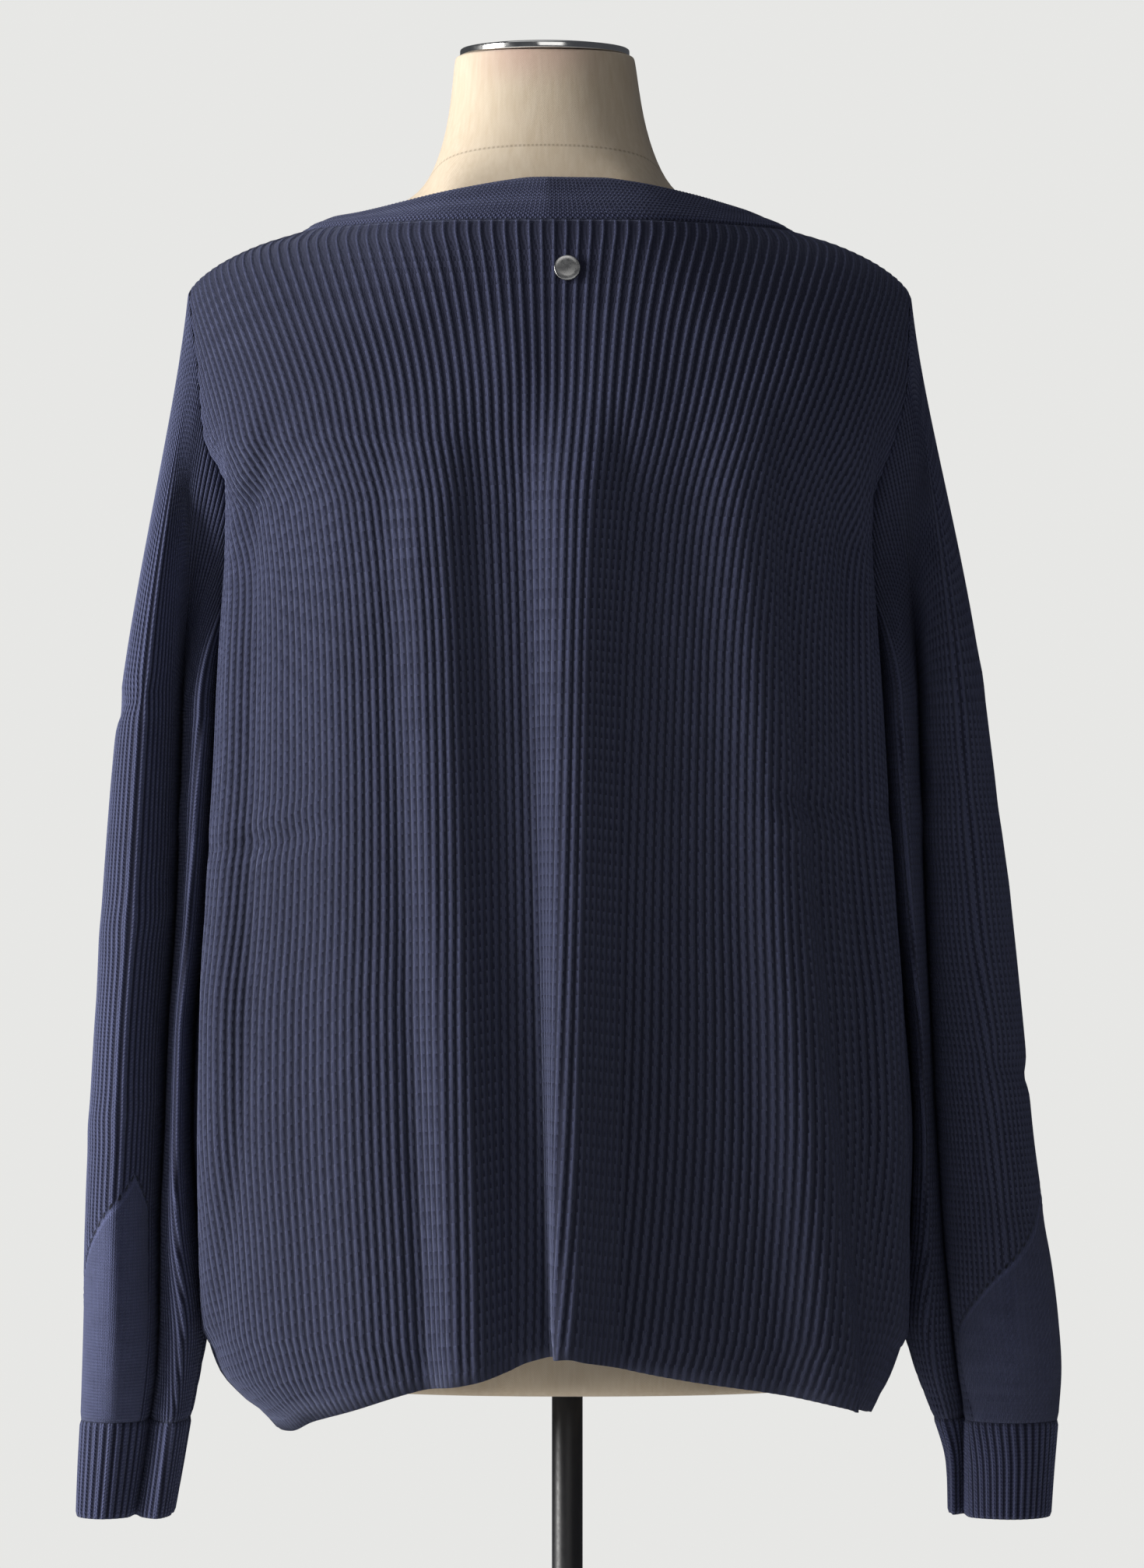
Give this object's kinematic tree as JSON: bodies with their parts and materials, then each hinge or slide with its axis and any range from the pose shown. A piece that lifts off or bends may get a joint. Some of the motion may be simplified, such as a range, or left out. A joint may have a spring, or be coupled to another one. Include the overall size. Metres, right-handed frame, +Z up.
{
  "type": "cardigan on dress form",
  "caption": "Navy rib-knit V-neck cardigan with dropped sleeves, worn open on a limbless linen dress form on a pole stand.",
  "frame": {"origin": "centre of the stand base's underside", "axes": "+Z up, +Y out of the garment's back, +X to the wearer's left"},
  "size_m": [0.5407, 0.35, 1.521],
  "materials": {
    "navy_knit": "matt wool rib knit, slightly fuzzy",
    "linen": "plain-weave linen cover, matt",
    "bright_metal": "bright polished metal",
    "black_paint": "satin black paint"
  },
  "bodies": {
    "root": {"back": "navy_knit", "front_left": "navy_knit", "front_right": "navy_knit", "sleeve_left": "navy_knit", "sleeve_right": "navy_knit", "cuff_left": "navy_knit", "cuff_right": "navy_knit", "neck_band": "navy_knit", "bust": "linen", "disc": "bright_metal", "neck_cap": "bright_metal", "stand_pole": "black_paint", "stand_collar": "black_paint", "stand_base": "black_paint"}
  },
  "joints": []
}
